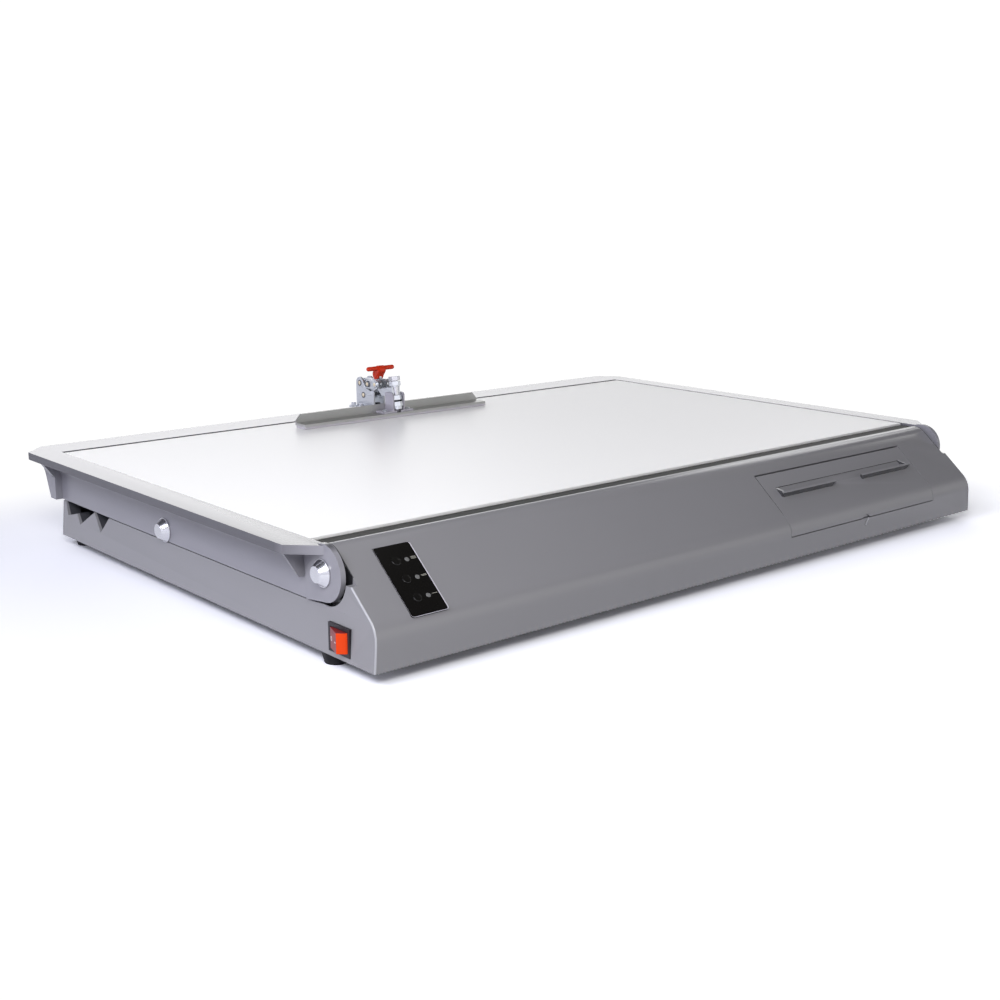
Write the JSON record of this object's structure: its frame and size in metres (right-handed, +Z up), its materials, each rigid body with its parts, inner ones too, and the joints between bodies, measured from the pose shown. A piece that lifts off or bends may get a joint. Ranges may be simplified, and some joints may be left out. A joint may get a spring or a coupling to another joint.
{
  "type": "vinyl weeding table",
  "caption": "Low heated bench-top work table: a tilting white work surface on a tray base with a sloped console, toggle sheet clamp and notched prop stand.",
  "frame": {"origin": "centre of the overall box's footprint, on the surface that the feet stand on", "axes": "+X to the right along the console, +Y from the console to the rear, +Z up"},
  "size_m": [0.9292, 0.643, 0.1674],
  "materials": {
    "housing": "satin",
    "frame": "satin",
    "steel_plate": "matte",
    "foot_rubber": "matte",
    "bumper_rubber": "matte",
    "zinc": "satin",
    "clamp_zinc": "satin",
    "rivet_brass": "satin",
    "polished": "polished",
    "panel_black": "gloss",
    "button_black": "matte",
    "lens": "gloss",
    "board": "matte",
    "switch_black": "satin",
    "rocker_red": "gloss",
    "bin_grey": "matte",
    "bush": "matte",
    "strip": "matte",
    "sheet": "satin",
    "aluminium": "brushed",
    "silicone": "matte",
    "insulation": "matte",
    "ceramic": "matte",
    "bar_felt": "matte",
    "grip_red": "gloss"
  },
  "bodies": {
    "base": {"base_housing": "housing", "base_plate": "steel_plate", "feet": "foot_rubber", "base_screws": "zinc", "control_panel": "panel_black", "led_lenses": "lens", "control_board": "board", "switch_body": "switch_black", "power_board": "board", "inlet_socket": "switch_black", "inlet_screws": "zinc", "tool_bin": "bin_grey", "pivot_bushes": "bush", "hinge_strip": "strip", "mains_lead": "bumper_rubber", "door_pins": "zinc"},
    "top": {"top_frame": "frame", "rear_skirt": "frame", "flange_ribs": "frame", "work_sheet": "sheet", "heat_spreader": "aluminium", "heater_mat": "silicone", "insulation_board": "insulation", "platen_cover": "steel_plate", "cover_screws": "zinc", "pivot_bolts": "polished", "pivot_nuts": "zinc", "prop_bolts": "polished", "prop_nuts": "zinc", "prop_spacers": "zinc", "thermal_cutout": "ceramic", "heater_lead": "silicone", "clamp_base": "clamp_zinc", "clamp_bolts": "zinc", "clamp_rivets": "rivet_brass", "arm_bumper": "bumper_rubber"},
    "prop": {"prop_arms": "zinc", "prop_rod": "zinc"},
    "door": {"tool_door": "housing"},
    "rocker": {"rocker": "rocker_red"},
    "button_1": {"button_1": "button_black"},
    "button_2": {"button_2": "button_black"},
    "button_3": {"button_3": "button_black"},
    "clamp_arm": {"clamp_arm": "clamp_zinc", "spindle": "zinc", "spindle_nuts": "zinc", "spindle_washers": "zinc", "spindle_cushion": "bumper_rubber", "bar_bracket": "zinc", "bar_rivets": "zinc", "clamp_bar": "aluminium", "bar_strip": "bar_felt"},
    "clamp_handle": {"handle_lever": "clamp_zinc", "handle_grip": "grip_red", "handle_rivet": "rivet_brass"},
    "clamp_link": {"clamp_links": "clamp_zinc"}
  },
  "joints": [
    {"name": "top_tilt", "type": "hinge", "parent": "base", "child": "top", "pos_m": [0, -0.2503, 0.0818], "axis": [1, 0, 0], "range_deg": [0, 26.6]},
    {"name": "prop_swing", "type": "hinge", "parent": "top", "child": "prop", "pos_m": [0, 0.0345, 0.0633], "axis": [1, 0, 0], "range_deg": [-68.3, 0]},
    {"name": "door_swing", "type": "hinge", "parent": "base", "child": "door", "pos_m": [0, -0.27001, 0.08781], "axis": [1, 0, 0], "range_deg": [-105, 0]},
    {"name": "rocker_switch", "type": "hinge", "parent": "base", "child": "rocker", "pos_m": [-0.437, -0.2716, 0.0285], "axis": [0, 0, 1], "range_deg": [0, 38.6]},
    {"name": "button_1_press", "type": "slide", "parent": "base", "child": "button_1", "axis": [0, 0.6481, -0.7615], "range_m": [0, 0.0008], "stiffness_N_per_m": 800, "springref_m": -0.001},
    {"name": "button_2_press", "type": "slide", "parent": "base", "child": "button_2", "axis": [0, 0.6481, -0.7615], "range_m": [0, 0.0008], "stiffness_N_per_m": 800, "springref_m": -0.001},
    {"name": "button_3_press", "type": "slide", "parent": "base", "child": "button_3", "axis": [0, 0.6481, -0.7615], "range_m": [0, 0.0008], "stiffness_N_per_m": 800, "springref_m": -0.001},
    {"name": "clamp_handle_swing", "type": "hinge", "parent": "top", "child": "clamp_handle", "pos_m": [0, 0.2927, 0.1419], "axis": [1, 0, 0], "range_deg": [-90, 0]},
    {"name": "clamp_arm_swing", "type": "hinge", "parent": "top", "child": "clamp_arm", "pos_m": [0, 0.2847, 0.1269], "axis": [1, 0, 0], "range_deg": [-49.4, 0]},
    {"name": "clamp_link_swing", "type": "hinge", "parent": "clamp_handle", "child": "clamp_link", "pos_m": [0, 0.2707, 0.1429], "axis": [1, 0, 0], "range_deg": [0, 105.1]}
  ],
  "couplings": [
    {"joint": "prop_swing", "follows": "top_tilt", "ratio": -2.564},
    {"joint": "clamp_arm_swing", "follows": "clamp_handle_swing", "ratio": 0.548},
    {"joint": "clamp_link_swing", "follows": "clamp_handle_swing", "ratio": -1.167}
  ]
}
